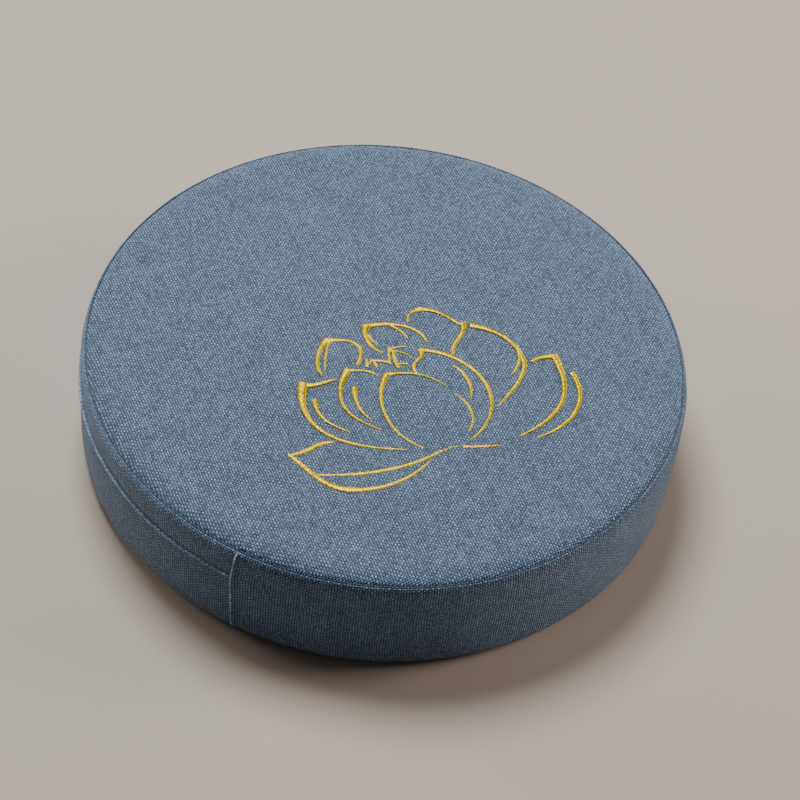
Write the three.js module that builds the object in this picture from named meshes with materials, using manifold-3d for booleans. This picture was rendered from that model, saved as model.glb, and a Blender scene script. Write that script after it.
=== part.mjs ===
// Round floor cushion with a zipped cover and an embroidered lotus.
// Millimetres, +Z up. The origin is the centre of the underside; the lotus stands upright along +Y.
import * as THREE from 'three';
import { mergeVertices } from 'three/addons/utils/BufferGeometryUtils.js';
import Module from 'manifold-3d';

const wasm = await Module();
wasm.setup();

// Overall size
const RADIUS = 200;
const HEIGHT = 84;
const SIDE_BULGE = 1.2; // how far the side swells between its top and bottom corners

// Cloth and clearances
const CLOTH = 1.2;
const GAP = 0.3; // between neighbouring pieces
const THREAD = 0.5; // height of the raised embroidery
const COVER_TOP = HEIGHT - THREAD - GAP;
const MID = COVER_TOP / 2;
const SEAM_RADIUS = 196.2; // where a round panel is sewn to the side
const SEAM_DROP = 4; // how far the panel's rounded edge falls to the sewn crease
const ALLOWANCE = 6.5; // seam edge turned inside

// Angles in degrees, counter-clockwise from +X
const FACET = 5;
const FACET_PHASE = 0.5;
const FRONT_END = 240.5; // where the zip strips meet the plain band, front
const BACK_END = 70.5; // the same, back
const END_GAP = 0.05;

// Zip behind the lip
const ZIP_HEIGHT = 54; // middle of the slot between the two strips
const SLOT = 1.8;
const HEM = 11.5; // folded-in edge of each strip
const CHAIN_GAP = 0.9; // from the middle of the chain to each coil
const COIL_WIDTH = 2.1;
const TAPE_REACH = 12.2; // from the middle of the chain to a tape's sewn edge
const TAPE_THICKNESS = 0.6;
const TAPE_RADIUS = 192.5; // inner face of the tape at the coil
const TAPE_SEWN_RADIUS = 195.4; // inner face of the tape at its sewn edge
const SLIDER_ANGLE = 74.5; // closed
const SLIDER_HALF_ANGLE = 1.35;
const PLATE = 1;
const SLIDER_HALF_WIDTH = 4.2;
const PULL_PIVOT_RADIUS = 202.3;
const PULL_LENGTH = 21;
const PULL_HALF_WIDTH = 2.5;
const PULL_THICKNESS = 1.3;

// Filling
const LINER_RADIUS = 190.4;
const LINER = 0.6;
const LINER_TOP = 80.6;
const WADDING = 8;

const CLOTH_BLUE = { color: 0x4f6a86, roughness: 0.95, metalness: 0 };
const GOLD_THREAD = { color: 0xd9a93a, roughness: 0.45, metalness: 0 };
const BLUE_THREAD = { color: 0x33475f, roughness: 0.8, metalness: 0 };
const TAPE_BLUE = { color: 0x2f4057, roughness: 0.9, metalness: 0 };
const COIL_PLASTIC = { color: 0x2b3a4e, roughness: 0.5, metalness: 0 };
const ZIP_METAL = { color: 0x8a8d92, roughness: 0.35, metalness: 1 };
const LINER_WHITE = { color: 0xe6e4de, roughness: 0.95, metalness: 0 };
const WADDING_WHITE = { color: 0xf0efe9, roughness: 1, metalness: 0 };
const FOAM_CREAM = { color: 0xe8dfb8, roughness: 0.95, metalness: 0 };

const cushion = new THREE.Group();

function radians(degrees) {
  return THREE.MathUtils.degToRad(degrees);
}

function addPiece(name, geometry, look) {
  const mesh = new THREE.Mesh(geometry, new THREE.MeshStandardMaterial(look));
  mesh.name = name;
  cushion.add(mesh);
  return mesh;
}

// Radius of the cover's side at a height: a shallow barrel.
function sideRadius(z) {
  const offset = (z - MID) / MID;
  return RADIUS - SIDE_BULGE * offset * offset;
}

function mirrored(profile) {
  return profile.map(([r, z]) => [r, COVER_TOP - z]);
}

// Every sweep turns at the same angles, so that neighbouring facets stay parallel.
function turns(start, end) {
  const angles = [start];
  let next = FACET_PHASE + FACET * (Math.floor((start - FACET_PHASE) / FACET) + 1);
  while (next < end - 0.01) {
    if (next > start + 0.01) {
      angles.push(next);
    }
    next += FACET;
  }
  angles.push(end);
  return angles;
}

function geometryFrom(positions, triangles) {
  const geometry = new THREE.BufferGeometry();
  geometry.setAttribute('position', new THREE.Float32BufferAttribute(positions, 3));
  geometry.setIndex(triangles);
  geometry.computeVertexNormals();
  return geometry;
}

// Sweeps a closed outline of [radius, height] points around the cushion's axis.
function sweep(outline, start, end) {
  const closed = end - start >= 360;
  const section = outline.map(([r, z]) => new THREE.Vector2(r, z));
  if (THREE.ShapeUtils.isClockWise(section)) {
    section.reverse();
  }
  const angles = turns(start, end);
  const count = section.length;
  const rings = closed ? angles.length - 1 : angles.length;
  const positions = [];
  for (let ring = 0; ring < rings; ring += 1) {
    const angle = radians(angles[ring]);
    for (const { x, y } of section) {
      positions.push(x * Math.cos(angle), x * Math.sin(angle), y);
    }
  }
  const triangles = [];
  for (let ring = 0; ring < angles.length - 1; ring += 1) {
    const here = ring * count;
    const there = ((ring + 1) % rings) * count;
    for (let side = 0; side < count; side += 1) {
      const next = (side + 1) % count;
      triangles.push(here + side, there + side, there + next);
      triangles.push(here + side, there + next, here + next);
    }
  }
  if (!closed) {
    const last = (rings - 1) * count;
    for (const [a, b, c] of THREE.ShapeUtils.triangulateShape(section, [])) {
      triangles.push(a, b, c);
      triangles.push(last + a, last + c, last + b);
    }
  }
  return geometryFrom(positions, triangles);
}

function ring(outline) {
  return sweep(outline, FACET_PHASE, FACET_PHASE + 360);
}

// A solid of revolution that reaches the axis.
function disc(outline) {
  const points = outline.map(([r, z]) => new THREE.Vector2(r, z));
  const lathe = new THREE.LatheGeometry(points, 360 / FACET);
  lathe.rotateX(Math.PI / 2);
  lathe.rotateZ(radians(FACET_PHASE));
  return lathe;
}

function plainDisc(radius, bottom, top) {
  return disc([[0, bottom], [radius, bottom], [radius, top], [0, top]]);
}

function solidFrom(geometry) {
  const bare = geometry.clone();
  bare.deleteAttribute('normal');
  bare.deleteAttribute('uv');
  const merged = mergeVertices(bare, 1e-4);
  return new wasm.Manifold(new wasm.Mesh({
    numProp: 3,
    vertProperties: new Float32Array(merged.attributes.position.array),
    triVerts: new Uint32Array(merged.index.array),
  }));
}

function joined(geometries) {
  const solid = geometries.map(solidFrom).reduce((sum, next) => sum.add(next));
  const mesh = solid.getMesh();
  return geometryFrom(Array.from(mesh.vertProperties), Array.from(mesh.triVerts));
}

// Round panels: flat, rounded down to the sewn crease, with the seam edge turned down inside.
function panelOutline() {
  const crease = SEAM_RADIUS - GAP / 2;
  const edge = COVER_TOP - SEAM_DROP;
  return [
    [0, COVER_TOP - CLOTH],
    [182.8, COVER_TOP - CLOTH],
    [187.6, COVER_TOP - CLOTH - 0.4],
    [191.5, COVER_TOP - CLOTH - 1.25],
    [crease - CLOTH, edge - 0.9],
    [crease - CLOTH, edge - ALLOWANCE],
    [crease, edge - ALLOWANCE],
    [crease, edge],
    [195, COVER_TOP - 2.8],
    [192, COVER_TOP - 1.3],
    [188, COVER_TOP - 0.4],
    [183, COVER_TOP],
    [0, COVER_TOP],
  ];
}

function addPanels() {
  addPiece('top_panel', disc(panelOutline()), CLOTH_BLUE);
  addPiece('bottom_panel', disc(mirrored(panelOutline()).reverse()), CLOTH_BLUE);
}

// The side cloth where it rolls from the crease over the corner: outer face, crease first.
function rollOutside() {
  return [
    [SEAM_RADIUS + GAP / 2, COVER_TOP - SEAM_DROP - 0.1],
    [SEAM_RADIUS + 1, COVER_TOP - 3.9],
    [SEAM_RADIUS + 2, COVER_TOP - 4.9],
    [SEAM_RADIUS + 2.6, COVER_TOP - 6.6],
    [sideRadius(COVER_TOP - 9), COVER_TOP - 9],
    [sideRadius(COVER_TOP - 15), COVER_TOP - 15],
  ];
}

// Inner face of the same stretch, from the side back to the seam edge.
function rollInside() {
  const crease = SEAM_RADIUS + GAP / 2;
  const edge = COVER_TOP - SEAM_DROP;
  return [
    [sideRadius(COVER_TOP - 15) - CLOTH, COVER_TOP - 15],
    [sideRadius(COVER_TOP - 9) - CLOTH, COVER_TOP - 9],
    [crease + CLOTH, edge - 2.4],
    [crease + CLOTH, edge - ALLOWANCE],
    [crease, edge - ALLOWANCE],
  ];
}

function addPlainBand() {
  const outline = [
    ...rollOutside(),
    [sideRadius(MID), MID],
    ...mirrored(rollOutside()).reverse(),
    ...mirrored(rollInside()).reverse(),
    [sideRadius(MID) - CLOTH, MID],
    ...rollInside(),
  ];
  addPiece('plain_band', sweep(outline, FRONT_END + END_GAP, BACK_END + 360 - END_GAP), CLOTH_BLUE);
}

// A strip's folded edge, from the outer face round the fold and back up inside.
// direction is +1 for the upper strip and -1 for the lower one; inset sets the cloth back.
function foldOutline(fold, direction, inset) {
  const layer = (z, depth) => [sideRadius(z) - inset - depth, z];
  const end = fold + direction * HEM;
  return [
    layer(fold + direction * 0.5, 0),
    layer(fold, 0.6),
    layer(fold, 1.9),
    layer(fold + direction * 0.5, 2.6),
    layer(end, 2.6),
    layer(end, CLOTH + GAP),
    layer(fold + direction * 1.4, CLOTH + GAP),
    layer(fold + direction * 1.4, CLOTH),
  ];
}

function addZipStrips() {
  const start = BACK_END + END_GAP;
  const end = FRONT_END - END_GAP;
  const upperFold = ZIP_HEIGHT + SLOT / 2;
  const lowerFold = ZIP_HEIGHT - SLOT / 2;
  const stitch = upperFold + 3.2;
  const upper = [
    ...rollOutside(),
    [sideRadius(stitch + 1), stitch + 1],
    [sideRadius(stitch) - 0.5, stitch + 0.5],
    [sideRadius(stitch) - 0.5, stitch - 0.5],
    [sideRadius(upperFold) + 0.2, stitch - 1],
    ...foldOutline(upperFold, 1, 0),
    ...rollInside(),
  ];
  const lowerInset = 0.4;
  const lower = [
    ...mirrored(rollOutside()),
    [sideRadius(MID), MID],
    [sideRadius(lowerFold - 4), lowerFold - 4],
    ...foldOutline(lowerFold, -1, lowerInset),
    [sideRadius(lowerFold - 5) - CLOTH, lowerFold - 5],
    [sideRadius(MID) - CLOTH, MID],
    ...mirrored(rollInside()),
  ];
  addPiece('zip_strip_upper', sweep(upper, start, end), CLOTH_BLUE);
  addPiece('zip_strip_lower', sweep(lower, start, end), CLOTH_BLUE);
  const thread = sideRadius(stitch) - 0.5 + GAP;
  const topstitch = [
    [thread, stitch - 0.2],
    [thread + 0.3, stitch - 0.2],
    [thread + 0.3, stitch + 0.2],
    [thread, stitch + 0.2],
  ];
  addPiece('lip_topstitch', sweep(topstitch, start + 0.5, end - 0.5), BLUE_THREAD);
}

// Sewing threads: round the two creases and up the two ends of the plain band.
function addSeamThreads() {
  const thread = [
    [SEAM_RADIUS - 0.1, COVER_TOP - SEAM_DROP + 0.6],
    [SEAM_RADIUS + 0.4, COVER_TOP - SEAM_DROP + 0.6],
    [SEAM_RADIUS + 0.4, COVER_TOP - SEAM_DROP + 1],
    [SEAM_RADIUS - 0.1, COVER_TOP - SEAM_DROP + 1],
  ];
  addPiece('seam_thread_top', ring(thread), BLUE_THREAD);
  addPiece('seam_thread_bottom', ring(mirrored(thread)), BLUE_THREAD);
  const heights = [12, MID, ZIP_HEIGHT + 3, COVER_TOP - 12];
  const outside = heights.map((z) => [sideRadius(z) + 2 * GAP + 0.4, z]);
  const inside = heights.map((z) => [sideRadius(z) + 2 * GAP, z]).reverse();
  const ends = [['end_stitch_front', FRONT_END], ['end_stitch_back', BACK_END]];
  for (const [name, angle] of ends) {
    addPiece(name, sweep([...outside, ...inside], angle - 0.08, angle + 0.08), BLUE_THREAD);
  }
}

// Zip: two tapes, two coils and their stops, drawn closed.
function addZipHalf(name, side) {
  const at = (r, z) => [r, ZIP_HEIGHT + side * z];
  const face = TAPE_RADIUS + TAPE_THICKNESS;
  const sewn = TAPE_SEWN_RADIUS + TAPE_THICKNESS;
  const tape = [
    at(TAPE_RADIUS, CHAIN_GAP),
    at(face, CHAIN_GAP),
    at(face, 4.8),
    at(sewn, 8),
    at(sewn, TAPE_REACH),
    at(TAPE_SEWN_RADIUS, TAPE_REACH),
    at(TAPE_SEWN_RADIUS, 8.2),
    at(TAPE_RADIUS, 5),
  ];
  const coilTop = CHAIN_GAP + COIL_WIDTH;
  const coilFace = face + GAP;
  const coil = [
    at(coilFace, CHAIN_GAP),
    at(coilFace + 0.9, CHAIN_GAP),
    at(coilFace + 1.2, CHAIN_GAP + 0.4),
    at(coilFace + 1.2, coilTop - 0.4),
    at(coilFace + 0.9, coilTop),
    at(coilFace, coilTop),
  ];
  const stop = [at(coilFace, CHAIN_GAP), at(196, CHAIN_GAP), at(196, coilTop), at(coilFace, coilTop)];
  addPiece(`zip_tape_${name}`, sweep(tape, BACK_END + 0.5, FRONT_END - 0.5), TAPE_BLUE);
  addPiece(`zip_coil_${name}`, sweep(coil, BACK_END + 2, FRONT_END - 2.2), COIL_PLASTIC);
  addPiece(`zip_top_stop_${name}`, sweep(stop, BACK_END + 0.9, BACK_END + 1.7), ZIP_METAL);
}

function addZip() {
  addZipHalf('upper', 1);
  addZipHalf('lower', -1);
  const inner = TAPE_RADIUS + TAPE_THICKNESS + GAP;
  const half = CHAIN_GAP + COIL_WIDTH;
  const stop = [
    [inner, ZIP_HEIGHT - half],
    [196, ZIP_HEIGHT - half],
    [196, ZIP_HEIGHT + half],
    [inner, ZIP_HEIGHT + half],
  ];
  addPiece('zip_bottom_stop', sweep(stop, FRONT_END - 1.9, FRONT_END - 1.1), ZIP_METAL);
}

// Slider: two plates and a post between the coils, with a pierced lug out through the slot.
function sliderOutline() {
  const back = TAPE_RADIUS - 0.5;
  const front = TAPE_RADIUS + 2.7;
  const flange = 3.5;
  const half = [
    [back - PLATE, SLIDER_HALF_WIDTH],
    [back, SLIDER_HALF_WIDTH],
    [back, 0.5],
    [front, 0.5],
    [front, flange],
    [front - 1.5, flange],
    [front - 1.5, SLIDER_HALF_WIDTH],
    [front + PLATE, SLIDER_HALF_WIDTH],
  ];
  const other = half.map(([r, z]) => [r, -z]).reverse();
  return [...half, ...other].map(([r, z]) => [r, ZIP_HEIGHT + z]);
}

function lugGeometry() {
  const halfLength = 2;
  const root = TAPE_RADIUS + 2.7 + PLATE / 2;
  const shape = new THREE.Shape();
  shape.moveTo(root, -halfLength);
  shape.lineTo(PULL_PIVOT_RADIUS, -halfLength);
  shape.absarc(PULL_PIVOT_RADIUS, 0, halfLength, -Math.PI / 2, Math.PI / 2, false);
  shape.lineTo(root, halfLength);
  shape.closePath();
  const hole = new THREE.Path();
  hole.absarc(PULL_PIVOT_RADIUS, 0, 1, 0, Math.PI * 2, true);
  shape.holes.push(hole);
  const thickness = 1.2;
  const lug = new THREE.ExtrudeGeometry(shape, { depth: thickness, bevelEnabled: false, curveSegments: 12 });
  lug.translate(0, 0, ZIP_HEIGHT - thickness / 2);
  lug.rotateZ(radians(SLIDER_ANGLE));
  return lug;
}

function addSlider() {
  const start = SLIDER_ANGLE - SLIDER_HALF_ANGLE;
  const end = SLIDER_ANGLE + SLIDER_HALF_ANGLE;
  addPiece('zip_slider', joined([sweep(sliderOutline(), start, end), lugGeometry()]), ZIP_METAL);
}

// Pull: a flat tab, forked around the lug, with a cross-pin through the lug's hole.
// In the shape, x runs up the cushion and y along the tab.
function addPull() {
  const slot = 0.95;
  const fork = 2.9;
  const heel = -1.2;
  const corner = 1.5;
  const shape = new THREE.Shape();
  shape.moveTo(slot, heel);
  shape.lineTo(PULL_HALF_WIDTH, heel);
  shape.lineTo(PULL_HALF_WIDTH, PULL_LENGTH - corner);
  shape.absarc(PULL_HALF_WIDTH - corner, PULL_LENGTH - corner, corner, 0, Math.PI / 2, false);
  shape.lineTo(corner - PULL_HALF_WIDTH, PULL_LENGTH);
  shape.absarc(corner - PULL_HALF_WIDTH, PULL_LENGTH - corner, corner, Math.PI / 2, Math.PI, false);
  shape.lineTo(-PULL_HALF_WIDTH, heel);
  shape.lineTo(-slot, heel);
  shape.lineTo(-slot, fork);
  shape.lineTo(slot, fork);
  shape.closePath();
  const pressing = { depth: PULL_THICKNESS, bevelEnabled: false, curveSegments: 4 };
  const tab = new THREE.ExtrudeGeometry(shape, pressing);
  tab.translate(0, 0, -PULL_THICKNESS / 2);
  const pin = new THREE.CylinderGeometry(0.6, 0.6, PULL_HALF_WIDTH * 2 - 1, 12);
  pin.rotateZ(Math.PI / 2);
  const pull = joined([tab, pin]);
  // Turn the tab so that its width stands up and its length runs clockwise round the side.
  pull.rotateY(-Math.PI / 2);
  pull.rotateZ(Math.PI);
  pull.translate(PULL_PIVOT_RADIUS, 0, ZIP_HEIGHT);
  pull.rotateZ(radians(SLIDER_ANGLE));
  addPiece('zip_pull', pull, ZIP_METAL);
}

// Filling: a sewn inner bag around a foam slab with a sheet of wadding on each face.
function addFilling() {
  const bottom = COVER_TOP - LINER_TOP;
  const inside = LINER_RADIUS - LINER;
  const paddingRadius = inside - GAP;
  const paddingTop = LINER_TOP - LINER - GAP;
  const paddingBottom = COVER_TOP - paddingTop;
  const foamTop = paddingTop - WADDING - GAP;
  const foamBottom = COVER_TOP - foamTop;
  const waddingAbove = plainDisc(paddingRadius, paddingTop - WADDING, paddingTop);
  const waddingBelow = plainDisc(paddingRadius, paddingBottom, paddingBottom + WADDING);
  addPiece('liner_top', plainDisc(LINER_RADIUS, LINER_TOP - LINER, LINER_TOP), LINER_WHITE);
  addPiece('liner_bottom', plainDisc(LINER_RADIUS, bottom, bottom + LINER), LINER_WHITE);
  const wall = [
    [inside, paddingBottom],
    [LINER_RADIUS, paddingBottom],
    [LINER_RADIUS, paddingTop],
    [inside, paddingTop],
  ];
  addPiece('liner_band', ring(wall), LINER_WHITE);
  addPiece('wadding_top', waddingAbove, WADDING_WHITE);
  addPiece('wadding_bottom', waddingBelow, WADDING_WHITE);
  addPiece('foam_core', plainDisc(paddingRadius, foamBottom, foamTop), FOAM_CREAM);
}

// Embroidery. Each stroke is a cubic curve [x, y] x 4 followed by its width at the start,
// middle and end; the strokes of one node run into each other.
const LOTUS = {
  lotus_centre_petal: [
    [[-1, -21], [-11, -44], [-3, -71], [20, -82], 5, 3, 1.5],
    [[-1, -21], [13, -17], [27, -19], [37, -29], 4, 2.4, 1.2],
    [[21, 2], [28, -6], [11, -8], [19, -20], 4.5, 3.6, 2],
    [[21, 2], [61, 1], [83, -44], [51, -74], 4.5, 4, 1.4],
    [[51, 28], [54, 17], [42, 11], [43, -2], 5.5, 4, 3],
    [[23, 39], [37, 39], [42, 31], [51, 25], 5, 4, 2.5],
    [[24, 39], [13, 35], [14, 30], [15, 27], 5.5, 2.4, 2],
  ],
  lotus_centre_vein: [[[43, -36], [54, -44], [56, -58], [50, -67], 1.4, 3, 1.4]],
  lotus_wrap_vein: [[[43, -11], [51, -17], [55, -28], [53, -39], 2, 3.8, 1.4]],
  lotus_back_petal: [
    [[56, 26], [73, 23], [86, 14], [90, -5], 6, 4.5, 4],
    [[90, -4], [91, -16], [81, -31], [70, -45], 4, 4, 1.2],
    [[85, 10], [89, 0], [87, -9], [80, -18], 3.5, 3, 1],
  ],
  lotus_far_petal: [
    [[95, -5], [98, -1], [103, 0], [110, 1], 3, 4, 6],
    [[110, 2], [121, -28], [116, -49], [82, -70], 6, 4.5, 1.4],
  ],
  lotus_far_echo: [[[121, -13], [131, -35], [121, -58], [94, -70], 4.5, 4, 1]],
  lotus_upper_left_petal: [
    [[-14, 21], [6, 28], [24, 22], [26, 9], 5, 4, 2],
    [[3, 23], [9, 19], [12, 16], [14, 11], 3.2, 3, 1.2],
    [[-13, 22], [-16, 12], [-13, 3], [-3, -2], 7, 4, 2],
    [[-12, 13], [-11, 10], [-9, 8], [-6, 5], 3.5, 2.5, 1],
  ],
  lotus_left_petal: [
    [[-40, 7], [-29, 9], [-21, 9], [-18, 1], 6, 3.4, 3],
    [[-18, 3], [-16, -5], [-19, -10], [-20, -14], 3.6, 4, 3],
    [[-39, 8], [-48, -5], [-47, -18], [-43, -24], 6, 4, 1],
    [[-38, 6], [-41, -6], [-41, -13], [-41, -19], 3, 2.4, 1],
  ],
  lotus_mid_left_petal: [
    [[-27, -19], [-16, -17], [-9, -19], [-7, -23], 4, 3, 1.2],
    [[-26, -18], [-37, -41], [-32, -58], [-6, -68], 6, 3.2, 1.2],
  ],
  lotus_mid_left_vein: [[[-22, -33], [-23, -46], [-19, -54], [-12, -60], 5, 3, 1]],
  lotus_lower_left_petal: [
    [[-57, -32], [-45, -34], [-41, -28], [-34, -27], 7, 4, 1.2],
    [[-55, -31], [-61, -64], [-42, -85], [10, -84], 8, 4, 1.5],
  ],
  lotus_lower_left_vein: [[[-48, -45], [-47, -58], [-42, -64], [-26, -71], 4.6, 3, 1.4]],
  lotus_low_petal: [
    [[-37, -80], [-47, -80], [-51, -89], [-65, -92], 2.5, 5, 3],
    [[-65, -91], [-50, -105], [-45, -116], [-28, -118], 3, 5.5, 6],
    [[-29, -118], [-9, -119], [10, -111], [25, -92], 6, 4, 1.2],
    [[-48, -107], [-13, -107], [14, -98], [32, -84], 2, 4, 2],
    [[31, -85], [36, -82], [39, -80], [43, -80], 2, 1.4, 1.2],
  ],
  lotus_base_dash: [[[46, -80], [53, -80], [61, -79], [69, -78], 3.5, 3.2, 1.4]],
  lotus_stamens: [
    [[1, 3], [1, -1], [1, -6], [1, -11], 3, 2.6, 2.4],
    [[1, 1], [4, 3], [8, 4], [13, 4], 2.6, 2, 1],
    [[1, 0], [7, 1], [12, -2], [16, -5], 2.4, 2, 1.2],
    [[4, 0], [4, -5], [5, -11], [7, -15], 3.4, 4, 3],
    [[6, -11], [8, -11], [11, -11], [13, -11], 3, 2.6, 2],
    [[-11, -9], [-7, -9], [-2, -9], [2, -11], 3, 3.4, 3],
    [[-14, -8], [-14, -10], [-14, -13], [-13, -15], 1.8, 2.6, 2.6],
    [[-14, -15], [-13, -12], [-11, -10], [-10, -9], 2.2, 2.4, 3],
    [[-9, -9], [-9, -11], [-8, -13], [-7, -15], 3, 3.4, 2.2],
  ],
};
const LOTUS_PLACE = [-0.4, -6.4]; // where the strokes are set on the top
const STROKE_STEP = 7; // millimetres between the corners of a stroke's edges

function strokeGeometry([a, b, c, d, startWidth, middleWidth, endWidth]) {
  const curve = new THREE.CubicBezierCurve(
    ...[a, b, c, d].map(([x, y]) => new THREE.Vector2(x, y)),
  );
  const steps = Math.max(2, Math.round(curve.getLength() / STROKE_STEP));
  const left = [];
  const right = [];
  for (let step = 0; step <= steps; step += 1) {
    const t = step / steps;
    const from = t < 0.5 ? startWidth : endWidth;
    const width = middleWidth + (from - middleWidth) * (2 * t - 1) ** 2;
    const point = curve.getPoint(t);
    const along = curve.getTangent(t);
    const across = new THREE.Vector2(-along.y, along.x).multiplyScalar(width / 2);
    left.push(point.clone().add(across));
    right.push(point.clone().sub(across));
  }
  const shape = new THREE.Shape([...left, ...right.reverse()]);
  return new THREE.ExtrudeGeometry(shape, { depth: THREAD, bevelEnabled: false });
}

function addEmbroidery() {
  for (const [name, strokes] of Object.entries(LOTUS)) {
    const lotus = joined(strokes.map(strokeGeometry));
    lotus.translate(...LOTUS_PLACE, COVER_TOP + GAP);
    addPiece(name, lotus, GOLD_THREAD);
  }
  const backingTop = COVER_TOP - CLOTH - GAP;
  const backing = plainDisc(104, backingTop - 0.4, backingTop);
  backing.translate(LOTUS_PLACE[0] + 32, LOTUS_PLACE[1] - 40, 0);
  addPiece('embroidery_backing', backing, LINER_WHITE);
}

addPanels();
addPlainBand();
addZipStrips();
addSeamThreads();
addZip();
addSlider();
addPull();
addFilling();
addEmbroidery();

export default cushion;
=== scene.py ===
import math

import bpy
import numpy as np
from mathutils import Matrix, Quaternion, Vector


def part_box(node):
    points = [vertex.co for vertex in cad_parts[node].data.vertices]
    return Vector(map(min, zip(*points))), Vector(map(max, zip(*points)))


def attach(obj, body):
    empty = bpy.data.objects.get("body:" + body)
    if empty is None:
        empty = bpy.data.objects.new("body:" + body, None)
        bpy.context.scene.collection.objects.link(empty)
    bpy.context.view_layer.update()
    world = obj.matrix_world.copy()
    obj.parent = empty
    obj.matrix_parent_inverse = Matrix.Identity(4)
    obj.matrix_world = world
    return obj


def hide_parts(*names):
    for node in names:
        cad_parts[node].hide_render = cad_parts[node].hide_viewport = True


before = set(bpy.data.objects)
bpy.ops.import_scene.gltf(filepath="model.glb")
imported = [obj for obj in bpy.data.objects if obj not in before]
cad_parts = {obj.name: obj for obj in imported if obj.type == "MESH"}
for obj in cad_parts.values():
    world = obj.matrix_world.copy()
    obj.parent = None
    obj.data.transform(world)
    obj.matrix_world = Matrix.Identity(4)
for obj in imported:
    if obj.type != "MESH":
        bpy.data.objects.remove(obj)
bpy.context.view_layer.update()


# Camera: a long lens looking down at the cushion from the front, a little to the left, and tilted
# a few degrees about its own axis.
camera_data = bpy.data.cameras.new("camera")
camera_data.sensor_width = 36
camera_data.lens = 112.5
camera = bpy.data.objects.new("camera", camera_data)
bpy.context.collection.objects.link(camera)
camera_azimuth = math.radians(-97)
camera_elevation = math.radians(48.75)
camera_distance = 1.7
camera.location = camera_distance * Vector((
    math.cos(camera_elevation) * math.cos(camera_azimuth),
    math.cos(camera_elevation) * math.sin(camera_azimuth),
    math.sin(camera_elevation),
))
camera_aim = Vector((0.0116, -0.0108, 0.0416))
camera.rotation_mode = "QUATERNION"
camera.rotation_quaternion = (
    (camera_aim - camera.location).to_track_quat("-Z", "Y")
    @ Quaternion((0, 0, 1), math.radians(7.65))
)
bpy.context.scene.camera = camera


# Studio: a plain pale floor, one broad lamp high behind the cushion, two low ones that brighten
# its sides, and a weak even sky. The front is left in shade.
def node_tree(material):
    """An empty node tree with one Principled surface."""
    material.use_nodes = True
    tree = material.node_tree
    tree.nodes.clear()
    output = tree.nodes.new("ShaderNodeOutputMaterial")
    surface = tree.nodes.new("ShaderNodeBsdfPrincipled")
    tree.links.new(surface.outputs["BSDF"], output.inputs["Surface"])
    return tree, surface


floor_mesh = bpy.data.meshes.new("floor")
floor_mesh.from_pydata([(-4, -4, 0), (4, -4, 0), (4, 4, 0), (-4, 4, 0)], [], [(0, 1, 2, 3)])
floor = bpy.data.objects.new("floor", floor_mesh)
bpy.context.collection.objects.link(floor)
floor_paint = bpy.data.materials.new("pale floor")
floor_surface = node_tree(floor_paint)[1]
floor_surface.inputs["Base Color"].default_value = (0.46, 0.415, 0.365, 1)
floor_surface.inputs["Roughness"].default_value = 0.75
floor_mesh.materials.append(floor_paint)


def soft_lamp(name, azimuth, elevation, distance, size, power, colour):
    """A round lamp aimed at the cushion."""
    lamp_data = bpy.data.lights.new(name, "AREA")
    lamp_data.shape = "DISK"
    lamp_data.size = size
    lamp_data.energy = power
    lamp_data.color = colour
    lamp = bpy.data.objects.new(name, lamp_data)
    bpy.context.collection.objects.link(lamp)
    a, e = math.radians(azimuth), math.radians(elevation)
    away = Vector((math.cos(e) * math.cos(a), math.cos(e) * math.sin(a), math.sin(e)))
    lamp.location = distance * away
    lamp.rotation_mode = "QUATERNION"
    lamp.rotation_quaternion = (-lamp.location).to_track_quat("-Z", "Y")


soft_lamp(
    "high lamp", azimuth=112, elevation=63, distance=3.2, size=1.5, power=120,
    colour=(1, 0.99, 0.98),
)
soft_lamp(
    "right lamp", azimuth=6, elevation=24, distance=2.4, size=1.0, power=41,
    colour=(1, 0.84, 0.74),
)
soft_lamp(
    "left lamp", azimuth=152, elevation=15, distance=2.4, size=1.0, power=32,
    colour=(1, 0.82, 0.70),
)
sky = bpy.data.worlds.new("studio sky")
sky.use_nodes = True
sky.node_tree.nodes["Background"].inputs["Color"].default_value = (1, 0.90, 0.86, 1)
sky.node_tree.nodes["Background"].inputs["Strength"].default_value = 0.068
bpy.context.scene.world = sky


# Top panel: a round piece of coarse blue-grey linen-look cloth, cut on a slant to the lotus and
# stretched flat over the filling. Its edge is sewn to the side and turned down inside.
def place(tree, kind, **inputs):
    """A shader node with these sockets linked or set, by name with _ for a space."""
    node = tree.nodes.new(kind)
    for name, value in inputs.items():
        socket = node.inputs[name.replace("_", " ")]
        if isinstance(value, bpy.types.NodeSocket):
            tree.links.new(value, socket)
        else:
            socket.default_value = value
    return node


def calculate(tree, operation, *values):
    """The output of a Math node."""
    node = tree.nodes.new("ShaderNodeMath")
    node.operation = operation
    for socket, value in zip(node.inputs, values):
        if isinstance(value, bpy.types.NodeSocket):
            tree.links.new(value, socket)
        else:
            socket.default_value = value
    return node.outputs["Value"]


def scaled(tree, colour, factor):
    """A colour made lighter or darker by a factor."""
    node = tree.nodes.new("ShaderNodeVectorMath")
    node.operation = "SCALE"
    tree.links.new(colour, node.inputs[0])
    tree.links.new(factor, node.inputs["Scale"])
    return node.outputs[0]


def mix_colours(tree, share, first, second):
    """The first colour where share is 0 and the second where it is 1."""
    node = tree.nodes.new("ShaderNodeMix")
    node.data_type = "RGBA"
    for socket, value in zip((node.inputs[0], node.inputs[6], node.inputs[7]), (share, first, second)):
        if isinstance(value, bpy.types.NodeSocket):
            tree.links.new(value, socket)
        else:
            socket.default_value = (*value, 1)
    return node.outputs[2]


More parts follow.
